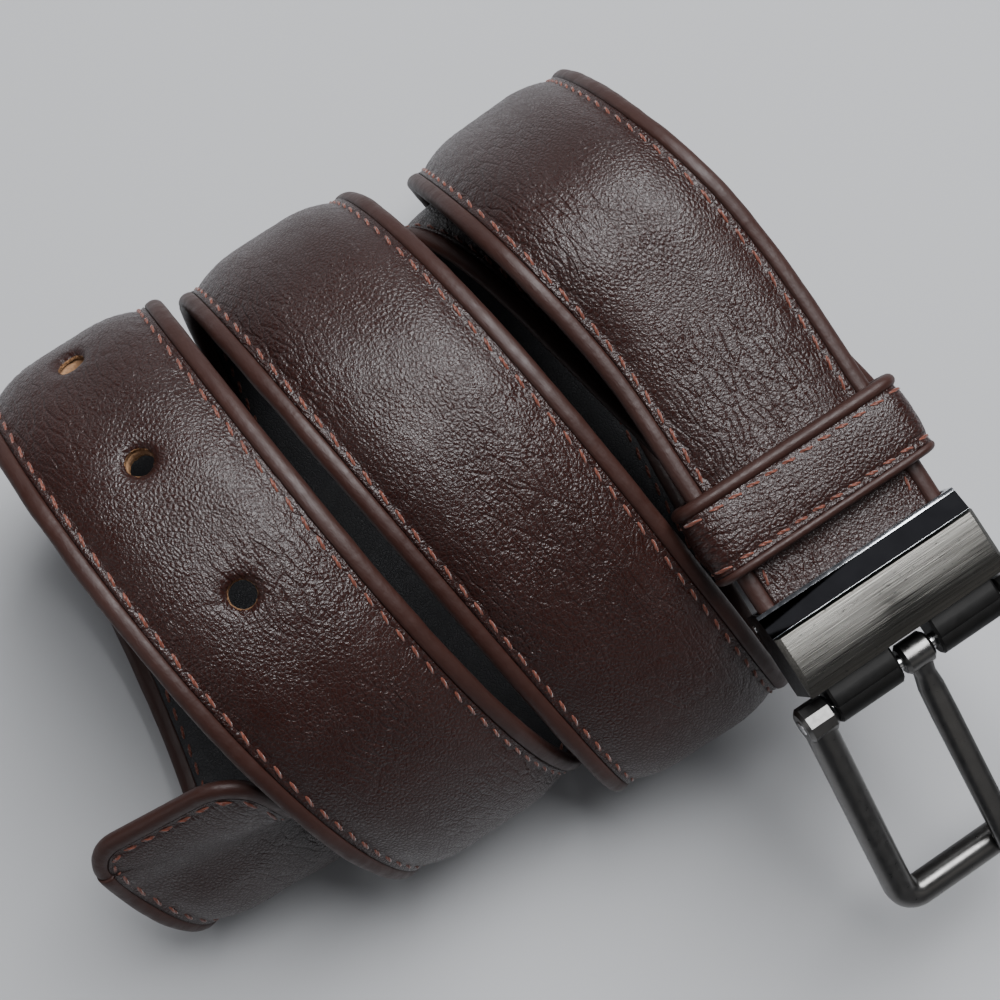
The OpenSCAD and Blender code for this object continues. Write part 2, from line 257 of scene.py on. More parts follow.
def face_top(s, v):
    """The seen side of the face leather."""
    x = from_rim(s, v)
    crown = 1 - (1 - np.clip((x - 1.5) / 9, 0, 1)) ** 2.4
    groove = 0.2 * ridge(x, SEAM_IN, 0.6)
    puckers = 0.07 * np.cos(2 * np.pi * s / STITCH_PITCH) * ridge(x, SEAM_IN + 1, 0.9)
    funnel = 0.6 * np.exp(-np.maximum(hole_distance(s, v) - HOLE_MOUTH, 0) / 0.6)
    relief = leather_relief(s, v) * ease(x / 3)
    return EDGE_N + pad_rise(s) * crown - groove + puckers - funnel + relief


def face_under(s, v):
    """The underside of the face leather, hollow over the padding."""
    h = half_width(s)
    flat = np.clip((PAD_HALF / FACE_HALF * h - np.abs(v)) / PAD_SLOPE_W, 0, 1)
    return GLUE_N + 0.92 * pad_rise(s) * flat


def lining_seen(s, v):
    """The seen side of the lining, wrinkled across where the strap bends sharply."""
    x = from_rim(s, v)
    tight = np.clip(coil.bend(s) * 26 - 0.25, 0, 1)
    p = s + 1.6 * noise(s / 14, v / 6, 11) + 1.1 * noise(s / 5, v / 12, 12)
    wrinkle = np.abs(np.sin(np.pi * p / 4.6)) ** 0.7 - 1
    groove = 0.16 * ridge(x, SEAM_IN, 0.6)
    funnel = 0.3 * np.exp(-np.maximum(hole_distance(s, v) - HOLE_MOUTH, 0) / 0.5)
    grain = 0.03 * ridge(cell_edge(s / 1.9, v / 1.9, 13), 0, 0.25)
    return LINING_N + 0.2 * wrinkle * tight * ease(x / 4) + groove + funnel + grain


def lining_under(s, v):
    return GLUE_N - 0.04 + 0 * s * v


def filler_top(s, v):
    return np.maximum(face_under(s, v) - 0.06, GLUE_N + 0.02)


def filler_under(s, v):
    return GLUE_N + 0 * s * v


# ---- pieces ----


def add_piece(name, points, faces, materials, body, node, place=None, face_slots=None,
              sharp=None):
    """A smooth mesh piece from points in mm, which replaces a CAD node.

    place holds each point's coordinates for its material, face_slots the number of each face's
    material, and sharp the angle in degrees from which an edge stays sharp.
    """
    mesh = bpy.data.meshes.new(name)
    mesh.from_pydata((np.asarray(points) * MM).tolist(), [], faces)
    for material in materials:
        mesh.materials.append(material)
    mesh.polygons.foreach_set("use_smooth", [True] * len(mesh.polygons))
    if face_slots is not None:
        mesh.polygons.foreach_set("material_index", face_slots)
    if place is not None:
        attribute = mesh.attributes.new("place", "FLOAT_VECTOR", "POINT")
        attribute.data.foreach_set("vector", np.asarray(place, np.float32).ravel())
    mesh.validate()
    work = bmesh.new()
    work.from_mesh(mesh)
    inside_out = work.calc_volume(signed=True) < 0
    work.free()
    if inside_out:
        mesh.flip_normals()
    if sharp:
        mesh.set_sharp_from_angle(angle=math.radians(sharp))
    link_piece(name, mesh, body, node)


def link_piece(name, mesh, body, node):
    """Puts a mesh in the scene, on its body, in place of its CAD node."""
    obj = bpy.data.objects.new(name, mesh)
    bpy.context.scene.collection.objects.link(obj)
    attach(obj, body)
    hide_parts(node)
    return obj


def ring_faces(a, b):
    """Quads between two closed rings of the same number of points."""
    m = len(a)
    return [[a[k], a[(k + 1) % m], b[(k + 1) % m], b[k]] for k in range(m)]


def loft(rings, endless=False):
    """Points and faces of a closed solid through closed rings of points, capped unless endless."""
    index = np.arange(rings.shape[0] * rings.shape[1]).reshape(rings.shape[:2]).tolist()
    after = index[1:] + index[:1] if endless else index[1:]
    faces = [f for a, b in zip(index, after) for f in ring_faces(a, b)]
    if not endless:
        faces += [index[0][::-1], index[-1]]
    return rings.reshape(-1, rings.shape[2]), faces


# ---- the strap ----

# Rows of points along the strap. Round each hole, a square block of cells makes way for the rings.
ROW = HOLE_PITCH / 40
BLOCK_CELLS = 12
BLOCK = ROW * BLOCK_CELLS / 2
RING_SHARES = (0.3, 0.55, 0.75, 0.9, 1.0)
# Rings down a hole's wall, the first of them still in the face's own leather
WALL_RINGS = 6
LIP_RINGS = 2


def strap_rows():
    """Distances along the strap, a row of points each, with rows on both sides of every hole."""
    even = np.arange(FIRST_HOLE % ROW, CORNER_S - ROW / 2, ROW)
    tip = CORNER_S + INNER_R * np.sin(np.linspace(0, np.pi / 2, 16))
    return np.concatenate([[0.0], even[even > ROW / 2], tip])


class Punched:
    """A closed layer of the strap: a fine seen side, a coarse hidden side and the punched holes.

    seen and hidden give each side's height at (s, v). side_cells is the number of cells across,
    either side of the holes' blocks, edge the half width, and run where the layer starts and ends.
    """

    def __init__(self, seen, hidden, side_cells, edge=FACE_HALF, run=(0, STRAP_LEN)):
        self.seen, self.hidden = seen, hidden
        wide = np.linspace(BLOCK, edge, side_cells + 1)[1:]
        middle = np.linspace(-BLOCK, BLOCK, BLOCK_CELLS + 1)
        columns = np.concatenate([-wide[::-1], middle, wide])
        bends = edge * np.array([(PAD_HALF - PAD_SLOPE_W) / FACE_HALF, PAD_HALF / FACE_HALF, 1.0])
        # The columns where a hole's block begins, on the seen side and on the hidden side
        self.first_column = side_cells
        self.first_low = len(bends)
        rows = strap_rows()
        self.s = rows[(rows >= run[0]) & (rows <= run[1])]
        self.places, self.faces, self.slots = [], [], []
        self.count = 0
        self.seen_grid = self.grid(columns, seen)
        self.hidden_grid = self.grid(np.concatenate([-bends[::-1], [-BLOCK, BLOCK], bends]), hidden)
        self.build()

    def add(self, s, v, n):
        """Adds points and gives their numbers."""
        s, v, n = np.broadcast_arrays(s, v, n)
        self.places.append(np.stack([s.ravel(), v.ravel(), n.ravel()], 1))
        self.count += s.size
        return np.arange(self.count - s.size, self.count).reshape(s.shape)

    def grid(self, columns, height):
        """Adds a side's points: a row at each s, narrowed at the tip's corners."""
        s = self.s[:, None]
        v = columns * half_width(s) / FACE_HALF
        return self.add(s + 0 * v, v, height(s, v))

    def take(self, faces, slot=0):
        """Adds faces with the material of that number."""
        faces = [list(map(int, f)) for f in faces]
        self.faces += faces
        self.slots += [slot] * len(faces)

    def build(self):
        """The two sides with their holes, then the long edges and the ends."""
        top, low = self.seen_grid, self.hidden_grid
        open_top = np.ones((top.shape[0] - 1, top.shape[1] - 1), bool)
        open_low = np.ones((low.shape[0] - 1, low.shape[1] - 1), bool)
        j0 = self.first_column
        for at in HOLES:
            i0, i1 = (int(np.argmin(np.abs(self.s - at - side * BLOCK))) for side in (-1, 1))
            open_top[i0:i1, j0:j0 + BLOCK_CELLS] = False
            open_low[i0 - 1:i1 + 1, self.first_low] = False
            self.punch(at, i0, i1)
        i, j = np.nonzero(open_top)
        self.take(np.stack([top[i, j], top[i, j + 1], top[i + 1, j + 1], top[i + 1, j]], 1))
        i, j = np.nonzero(open_low)
        self.take(np.stack([low[i, j], low[i + 1, j], low[i + 1, j + 1], low[i, j + 1]], 1))
        self.take(np.stack([top[:-1, 0], top[1:, 0], low[1:, 0], low[:-1, 0]], 1))
        self.take(np.stack([top[:-1, -1], low[:-1, -1], low[1:, -1], top[1:, -1]], 1))
        for row, order in ((0, -1), (-1, 1)):
            self.take([np.concatenate([top[row], low[row][::-1]])[::order]])

    def punch(self, at, i0, i1):
        """One hole, between rows i0 and i1: rings from the square gap in the grid to a circle,
        then down the wall to the square gap on the hidden side.
        """
        top, low = self.seen_grid, self.hidden_grid
        j0, left = self.first_column, self.first_low
        j1, right = j0 + BLOCK_CELLS, left + 1
        square = np.concatenate([
            top[i0, j0:j1], top[i0:i1, j1], top[i1, j1:j0:-1], top[i1:i0:-1, j0]])
        v_between = np.linspace(-BLOCK, BLOCK, BLOCK_CELLS + 1)[1:-1]
        near, far = (self.add(s, v_between, self.hidden(s + 0 * v_between, v_between))
                     for s in (self.s[i0], self.s[i1]))
        square_low = np.concatenate([
            [low[i0, left]], near, low[i0:i1, right], [low[i1, right]], far[::-1],
            low[i1:i0:-1, left]])
        self.take([
            [low[i0 - 1, left], low[i0, left], *near, low[i0, right], low[i0 - 1, right]],
            [low[i1, left], low[i1 + 1, left], low[i1 + 1, right], low[i1, right], *far[::-1]]])
        place = np.concatenate(self.places)[square]
        angle = np.arctan2(place[:, 0] - at, place[:, 1])
        ring_s, ring_v = at + HOLE_MOUTH * np.sin(angle), HOLE_MOUTH * np.cos(angle)
        last = square
        for share in RING_SHARES:
            s = place[:, 0] + (ring_s - place[:, 0]) * share
            v = place[:, 1] + (ring_v - place[:, 1]) * share
            ring = self.add(s, v, self.seen(s, v))
            self.take(ring_faces(last, ring))
            last = ring
        start = self.seen(ring_s, ring_v)
        end = self.hidden(ring_s, ring_v)
        for k in range(1, WALL_RINGS + 1):
            frayed = 0.04 * noise(angle * 5 + at, k * 1.7 + 0 * angle, 21)
            shrunk = 1 - 0.16 * ease(k / 2.5) + frayed
            n = start + (end - start) * k / WALL_RINGS
            ring = self.add(at + (ring_s - at) * shrunk, ring_v * shrunk, n)
            self.take(ring_faces(last, ring), int(k > LIP_RINGS))
            last = ring
        self.take(ring_faces(last, square_low), 1)


def strap_layer(name, layer, materials, node):
    """A punched layer, bent round the coil."""
    place = np.concatenate(layer.places)
    points = coil.place(place[:, 0], place[:, 1], place[:, 2])
    add_piece(name, points, layer.faces, materials, "strap", node, place, layer.slots)


def outline(inset):
    """Points (s, v) and outward directions round the strap, inset from the bonded layers' edge."""
    run = np.arange(0, CORNER_S, 1.25)
    angle = np.linspace(0, np.pi / 2, 12)
    r = INNER_R - inset
    side = FACE_HALF - inset
    left = np.stack([run, 0 * run - side, 0 * run, 0 * run - 1], 1)
    c, s = np.cos(angle), np.sin(angle)
    turn = np.stack([CORNER_S + r * s, -side + r * (1 - c), s, -c], 1)
    across = np.linspace(-1, 1, 9)[1:-1] * (FACE_HALF - INNER_R)
    tip = np.stack([0 * across + CORNER_S + r, across, 0 * across + 1, 0 * across], 1)
    half = np.concatenate([left, turn])
    return np.concatenate([half, tip, half[::-1] * [1, -1, 1, -1]])


def strap_rim(material):
    """The smooth rolled edge: one bead up the left side, round the tip and down the right."""
    path = outline(0)
    theta = np.radians(np.linspace(88, -88, 11))
    middle_n = (EDGE_N + 0.3 + LINING_N) / 2
    rise = (EDGE_N + 0.3 - LINING_N) / 2
    bead = np.stack([1.25 + (RIM_W - 1.25) * np.cos(theta), middle_n + rise * np.sin(theta)], 1)
    face_lip = [[0.03, EDGE_N - 0.35], [0.25, EDGE_N + 0.08], [0.65, EDGE_N + 0.24]]
    lining_lip = [[0.5, LINING_N + 0.05], [0.03, LINING_N + 0.12]]
    section = np.concatenate([face_lip, bead, lining_lip])
    crest = len(face_lip) + len(bead) // 2
    s, v = path[:, :1], path[:, 1:2]
    wobble = 0.05 * noise(s / 7, np.sign(v) * 3.0, 31) + 0.03 * noise(s / 2.5, np.sign(v) * 5.0, 32)
    x = section[:, 0] * (1 + 0.4 * wobble)
    n = section[:, 1] + wobble * (section[:, 0] > 0.2)
    rings = coil.place(s + x * path[:, 2:3], v + x * path[:, 3:4], n)
    points, faces = loft(rings)
    travel = np.concatenate([
        [0], np.cumsum(np.linalg.norm(np.diff(rings[:, crest], axis=0), axis=1))])
    around = np.broadcast_to(np.arange(len(section)) * 0.45, x.shape)
    place = np.stack([travel[:, None] + 0 * x, around, n], -1)
    add_piece("strap_rim_bead", points, faces, [material], "strap", "strap_rim",
              place.reshape(-1, 3))


# ---- stitches ----

STITCH_LEN = 3.1
THREAD_R = 0.29
STITCH_RINGS = 7
STITCH_SIDES = 6


def stitch_shape(length):
    """Points (along, across, up, turn) and faces of a stitch that dips into its needle holes."""
    t = np.linspace(-1, 1, STITCH_RINGS)[:, None]
    turn = np.linspace(0, 2 * np.pi, STITCH_SIDES, endpoint=False)
    r = THREAD_R * np.sqrt(1 - 0.6 * t**2)
    up = r * np.sin(turn) - 0.42 * t**2 + 0.1
    return loft(np.stack([length / 2 * t + 0 * turn, r * np.cos(turn), up, turn + 0 * t], -1))


def along_path(path, pitch):
    """Middles and directions of steps of about one pitch along a row of points."""
    steps = np.linalg.norm(np.diff(path, axis=0), axis=1)
    travel = np.concatenate([[0], np.cumsum(steps)])
    count = int(travel[-1] / pitch)
    at = (np.arange(count) + 0.5) * travel[-1] / count
    middle, ahead, behind = (
        np.stack([np.interp(at + d, travel, column) for column in path.T], 1)
        for d in (0, 0.4, -0.4))
    return middle, unit(ahead - behind)


def stitches(name, middles, directions, place, length, slant, body, node, material):
    """All the stitches of one seam, as one piece, each turned by about slant degrees.

    place(a, b, up) turns seam coordinates into points.
    """
    shape, shape_faces = stitch_shape(length)
    count = len(middles)
    jitter = np.radians(slant) + 0.06 * noise(np.arange(count) * 1.7, np.full(count, 4.0), 41)
    c, s = np.cos(jitter)[:, None], np.sin(jitter)[:, None]
    run = directions[:, :1] * c - directions[:, 1:2] * s
    side = directions[:, :1] * s + directions[:, 1:2] * c
    a = middles[:, :1] + run * shape[:, 0] - side * shape[:, 1]
    b = middles[:, 1:2] + side * shape[:, 0] + run * shape[:, 1]
    points = place(a, b, shape[:, 2] + 0 * a)
    apart = 7.0 * np.arange(count)[:, None]
    marks = np.stack([shape[:, 0] + apart, shape[:, 3] + 0 * a, shape[:, 2] + 0 * a], -1)
    size = len(shape)
    faces = [[k * size + i for i in f] for k in range(count) for f in shape_faces]
    add_piece(name, points.reshape(-1, 3), faces, [material], body, node,
              marks.reshape(-1, 3))


def strap_stitches(name, height, lift, node, material):
    """The seam just inside the rim, on the face (lift 1) or the lining (lift -1)."""
    path = outline(SEAM_IN)[:, :2]
    path = path[path[:, 0] > INSIDE_CLAMP + 1]
    middles, directions = along_path(path, STITCH_PITCH)

    def place(s, v, up):
        return coil.place(s, v, height(s, v) + lift * up)

    stitches(name, middles, directions, place, STITCH_LEN, 9 * lift, "strap", node, material)


# ---- keeper ----

KEEPER_AT = 13.5
KEEPER_LEN = 14.0
# Inside of the loop: half width, half height, middle, and the power of its rounded oblong
KEEPER_A = 18.3
KEEPER_B = 2.8
KEEPER_MID = 0.1
KEEPER_POWER = 4.8
KEEPER_BAND = 2.0
KEEPER_ROUND = 200
KEEPER_PITCH = 3.3


def tilted(points, angle):
    """Points turned about X."""
    c, s = math.cos(angle), math.sin(angle)
    return np.asarray(points) @ np.array([[1, 0, 0], [0, c, s], [0, -s, c]])


def at_clamp(points):
    """World places of points in the clamp's own axes."""
    return MOUTH + tilted(points, CLAMP_SLOPE)


def keeper_loop():
    """Points (x, z) round the keeper's inside and their outward directions, evenly spaced."""
    angle = np.linspace(0, 2 * np.pi, 4000)
    c, s = np.cos(angle), np.sin(angle)
    x = KEEPER_A * np.sign(c) * np.abs(c) ** (2 / KEEPER_POWER)
    z = KEEPER_B * np.sign(s) * np.abs(s) ** (2 / KEEPER_POWER)
    travel = np.concatenate([[0], np.cumsum(np.hypot(np.diff(x), np.diff(z)))])
    at = np.linspace(0, travel[-1], KEEPER_ROUND, endpoint=False)
    x, z = np.interp(at, travel, x), np.interp(at, travel, z)
    dx, dz = np.roll(x, -2) - np.roll(x, 2), np.roll(z, -2) - np.roll(z, 2)
    size = np.hypot(dx, dz)
    return np.stack([x, z + KEEPER_MID, dz / size, -dx / size], 1), travel[-1]


def sleeve(name, section, height, material, node):
    """A closed sleeve round the strap: section is a closed row of (y, thickness) points.

    height(travel, y) is the relief of its outer side.
    """
    loop, around = keeper_loop()
    y, t = section[:, 0], section[:, 1]
    travel = np.linspace(0, around, len(loop), endpoint=False)[:, None]
    t = t + height(travel, y) * (t > 0.5)
    x = loop[:, :1] + loop[:, 2:3] * t
    z = loop[:, 1:2] + loop[:, 3:4] * t
    points, faces = loft(at_clamp(np.stack([x, KEEPER_AT + y + 0 * t, z], -1)), endless=True)
    place = np.stack([travel + 0 * t, y + 0 * t, t], -1)
    add_piece(name, points, faces, [material], "keeper", node, place.reshape(-1, 3))


def keeper_height(travel, y):
    """Crown, seam groove and grain of the keeper's face, its grain unlike the strap's beside it."""
    x = KEEPER_LEN / 2 - 1.5 - np.abs(y)
    crown = 0.35 * (1 - (1 - np.clip((x - 1.2) / 3.5, 0, 1)) ** 2)
    groove = 0.22 * ridge(x, 0.8, 0.5)
    return crown - groove + 0.7 * leather_relief(travel + 400, y) * ease(x / 2)


def rim_unevenness(travel, y):
    return 0.06 * noise(travel / 4, 0 * y, 51)


def no_relief(travel, y):
    return 0 * travel * y


def keeper(mats):
    """The keeper's band, lining, two rolled rims and seams."""
    half = KEEPER_LEN / 2 - 1.4
    y = np.linspace(half, -half, 30)
    outer = np.stack([y, 0 * y + KEEPER_BAND], 1)
    sleeve("keeper_leather", np.concatenate([outer, [[-half, 0.75], [half, 0.75]]]),
           keeper_height, mats["face"], "keeper_band")
    lining = np.stack([np.linspace(half, -half, 12), np.full(12, 0.7)], 1)
    sleeve("keeper_lining_leather", np.concatenate([lining, [[-half, 0.0], [half, 0.0]]]),
           no_relief, mats["lining"], "keeper_lining")
    turn = np.linspace(0, 2 * np.pi, 14, endpoint=False)
    for name, side, half_y, top in (("keeper_rim_upper", 1, 1.15, 2.55),
                                    ("keeper_rim_lower", -1, 0.85, 2.25)):
        middle = side * (KEEPER_LEN / 2 - half_y)
        bead = np.stack([middle + half_y * np.cos(turn), top / 2 + top / 2 * np.sin(turn)], 1)
        sleeve(name, bead, rim_unevenness, mats["rim"], "keeper_rims")
    keeper_seams(mats["thread"])


def keeper_seams(material):
    """The keeper's two rows of stitches, all the way round."""
    loop, around = keeper_loop()
    closed = np.vstack([loop, loop[:1]])
    travel = np.linspace(0, around, len(closed))

    def place(a, y, up):
        x, z, out_x, out_z = (np.interp(a % around, travel, closed[:, k]) for k in range(4))
        t = KEEPER_BAND + up + keeper_height(a, y)
        return at_clamp(np.stack([x + out_x * t, KEEPER_AT + y, z + out_z * t], -1))

    count = int(around / KEEPER_PITCH)
    at = (np.arange(count) + 0.5) * around / count
    directions = np.tile([1.0, 0.0], (count, 1))
    for name, side, inset in (("keeper_stitches_upper", 1, 3.0),
                              ("keeper_stitches_lower", -1, 2.4)):
        middles = np.stack([at, np.full(count, side * (KEEPER_LEN / 2 - inset))], 1)
        stitches(name, middles, directions, place, 2.7, 8, "keeper", "keeper_thread", material)


# ---- metal parts ----

PIVOT_AT = np.array([0.0, -18.5, -0.8])
PIVOT_BORE = 1.31
FRAME_DROOP = math.radians(27)
FRAME_W = 43.0
FRAME_LEN = 40.0
FRAME_TURN_R = 3.2
BAR_T = 5.0
EYELET_W = 5.4
EYELET_R = 3.1
PRONG_HEAD_R = 2.7
BLOCK_HALF = 15.8
NOTCH_HALF = 3.7
# The prong's shank: [y, underside, top, half width]
SHANK = [
    [-1.5, -0.9, 2.35, 2.0], [-3.5, -0.9, 2.25, 1.7], [-6.5, -0.9, 2.3, 2.1], [-12, -0.3, 2.8, 2.2],
    [-22, 1.0, 3.7, 2.2], [-32, 2.2, 4.7, 2.2], [-36, 2.75, 5.0, 2.2], [-38, 2.85, 5.0, 2.15],
    [-40, 2.85, 4.9, 2.05], [-41.6, 2.85, 4.5, 1.8], [-42.4, 2.95, 4.1, 1.4],
    [-42.7, 3.1, 3.8, 0.9],
]


def at_pivot(points):
    """World places of points in the axes of the frame and the prong."""
    return at_clamp(tilted(points, FRAME_DROOP) + PIVOT_AT)


def soft_square(count, power):
    """Points (x, z) round a square from -1 to 1 with soft corners."""
    a = np.linspace(0, 2 * np.pi, count, endpoint=False)
    both = np.stack([np.cos(a), np.sin(a)], 1)
    return np.sign(both) * np.abs(both) ** (2 / power)


def eyelet(width, r, sides, x=0.0):
    """A bored barrel along X with chamfered ends and as many flats as sides."""
    half, chamfer = width / 2, 0.6
    profile = [[-half, PIVOT_BORE], [-half, r - chamfer], [chamfer - half, r],
               [half - chamfer, r], [half, r - chamfer], [half, PIVOT_BORE]]
    return loft(np.array([[[x + at, q * math.cos(a), q * math.sin(a)] for at, q in profile]
                          for a in np.linspace(0, 2 * np.pi, sides, endpoint=False)]), endless=True)


def joined(shells):
    """Points and faces of one piece made of closed shells, each with its faces turned outwards."""
    points, faces = [], []
    for shell, shell_faces in shells:
        start = sum(len(p) for p in points)
        corners = np.array([[shell[f[0]], shell[f[k]], shell[f[k + 1]]]
                            for f in shell_faces for k in range(1, len(f) - 1)])
        volume = np.einsum("ij,ij->", corners[:, 0], np.cross(corners[:, 1], corners[:, 2]))
        step = 1 if volume > 0 else -1
        faces += [[start + i for i in f[::step]] for f in shell_faces]
        points.append(shell)
    return np.concatenate(points), faces


def hinge_block(material):
    """Two bored cheeks either side of the prong's notch, on a web behind it."""
    chamfer = 0.4
    angle = np.radians(np.arange(0, 181, 12))
    side = np.concatenate([
        [[3.96, -2.6], [3.96, 3.1], [3.7, 3.4], [2, 3.4], [0.6, 3.4], [0.15, 3.2]],
        np.stack([-2.8 * np.sin(angle), 2.8 * np.cos(angle)], 1), [[2, -2.8], [3.7, -2.8]]])
    middle = np.array([1.0, 0.3])
    spokes = side - middle
    inset = middle + spokes * (1 - chamfer / np.linalg.norm(spokes, axis=1, keepdims=True))
    bore = PIVOT_BORE * unit(side)
    shells = []
    for x0, x1 in ((-BLOCK_HALF, -NOTCH_HALF), (NOTCH_HALF, BLOCK_HALF)):
        rings = [(x0, bore), (x0, inset), (x0 + chamfer, side),
                 (x1 - chamfer, side), (x1, inset), (x1, bore)]
        shells.append(loft(np.array([[[x, y, z] for y, z in ring] for x, ring in rings]),
                           endless=True))
    web = [[3.5, -2.7], [3.5, 3.3], [3.9, 3.3], [3.9, -2.7]]
    ends = (-NOTCH_HALF - 1, NOTCH_HALF + 1)
    shells.append(loft(np.array([[[x, y, z] for y, z in web] for x in ends])))
    points, faces = joined(shells)
    add_piece("hinge_block_cast", at_clamp(points + PIVOT_AT), faces, [material], "strap",
              "hinge_block", sharp=32)


def buckle_frame(material):
    """U of soft square bar, with a faceted eyelet at the end of each arm."""
    half, end, r = (FRAME_W - BAR_T) / 2, -FRAME_LEN, FRAME_TURN_R
    turn = np.linspace(0, np.pi / 2, 9)
    arm = np.stack([np.full(12, -half), np.linspace(-1.6, end + r, 12)], 1)[:-1]
    corner = np.stack([r - half - r * np.cos(turn), end + r - r * np.sin(turn)], 1)
    left = np.concatenate([arm, corner])
    path = np.concatenate([left, left[::-1] * [-1, 1]])
    out = np.gradient(path, axis=0)
    out = unit(np.stack([out[:, 1], -out[:, 0]], 1))
    section = soft_square(32, 2.6) * BAR_T / 2
    across, up = section[:, 0], section[:, 1]
    rings = np.stack([path[:, :1] + out[:, :1] * across, path[:, 1:] + out[:, 1:] * across,
                      np.broadcast_to(up, (len(path), len(up)))], -1)
    eyelets = [eyelet(EYELET_W, EYELET_R, 10, side * (FRAME_W - EYELET_W) / 2)
               for side in (-1, 1)]
    points, faces = joined([loft(rings), *eyelets])
    add_piece("frame_cast", at_pivot(points), faces, [material], "frame",
              "buckle_frame", sharp=32)


def buckle_prong(material):
    """A shank that widens to its blunt end, on a round head."""
    marks = np.arange(len(SHANK))
    fine = np.linspace(0, len(SHANK) - 1, 5 * len(SHANK) - 4)
    y, low, high, half = (np.interp(fine, marks, column)[:, None] for column in np.array(SHANK).T)
    section = soft_square(28, 2.8)
    across, up = section[:, 0], section[:, 1]
    rings = np.stack([half * across, y + 0 * across, (low + high) / 2 + (high - low) / 2 * up], -1)
    points, faces = joined([loft(rings), eyelet(EYELET_W, PRONG_HEAD_R, 32)])
    add_piece("prong_cast", at_pivot(points), faces, [material], "prong",
              "buckle_prong", sharp=40)


def rounded_copy(name, node, width, materials, body):
    """A copy of a CAD node's mesh, in metres, with its edges rounded, width in mm."""
    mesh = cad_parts[node].data.copy()
    mesh.materials.clear()
    for material in materials:
        mesh.materials.append(material)
    work = bmesh.new()
    work.from_mesh(mesh)
    bmesh.ops.remove_doubles(work, verts=work.verts, dist=1e-6)
    bmesh.ops.dissolve_limit(work, angle_limit=math.radians(1.5), verts=work.verts,
                             edges=work.edges)
    for face in work.faces:
        face.material_index = 0
        face.smooth = True
    keen = [e for e in work.edges
            if len(e.link_faces) == 2 and e.calc_face_angle(0) > math.radians(25)]
    bmesh.ops.bevel(work, geom=keen, offset=width * MM, segments=3, profile=0.5,
                    affect="EDGES", clamp_overlap=True)
    work.to_mesh(mesh)
    work.free()
    mesh.set_sharp_from_angle(angle=math.radians(30))
    return link_piece(name, mesh, body, node)


def paint(obj, slot_index, test):
    """Another material for faces whose middle and normal, in the clamp's axes, pass the test."""
    turn = Matrix.Rotation(-CLAMP_SLOPE, 3, "X")
    for face in obj.data.polygons:
        at = turn @ (face.center / MM - Vector(MOUTH))
        if test(at, turn @ face.normal):
            face.material_index = slot_index


def metal_parts(mats):
    """The clamp, with satin ends and a mirror channel on its polished case whose near-black tone is
    a painted dark reflection, and the buckle.
    """
    case = rounded_copy("clamp_case_shell", "clamp_case", 0.22,
                        [mats["polished"], mats["black"], mats["satin"]], "strap")
    # The channel gets the near-black mirror, its darkness a painted reflection of dark surroundings
    paint(case, 1, lambda at, normal: -4.2 < at.y < -0.5 and at.z > 2.2 and normal.y > 0.1)
    paint(case, 2, lambda at, normal: normal.y < -0.5 or abs(normal.x) > 0.5)
    rounded_copy("clamp_plate", "clamp_face_plate", 0.3, [mats["brushed"]], "strap")
    hinge_block(mats["satin"])
    rounded_copy("clamp_jaw_plate", "clamp_jaw", 0.15, [mats["steel"]], "jaw")
    rounded_copy("pivot_bar_turned", "pivot_bar", 0.3, [mats["steel"]], "strap")
    rounded_copy("jaw_pin_turned", "clamp_jaw_pin", 0.15, [mats["steel"]], "strap")
    buckle_frame(mats["dark"])
    buckle_prong(mats["dark"])


# ---- materials ----


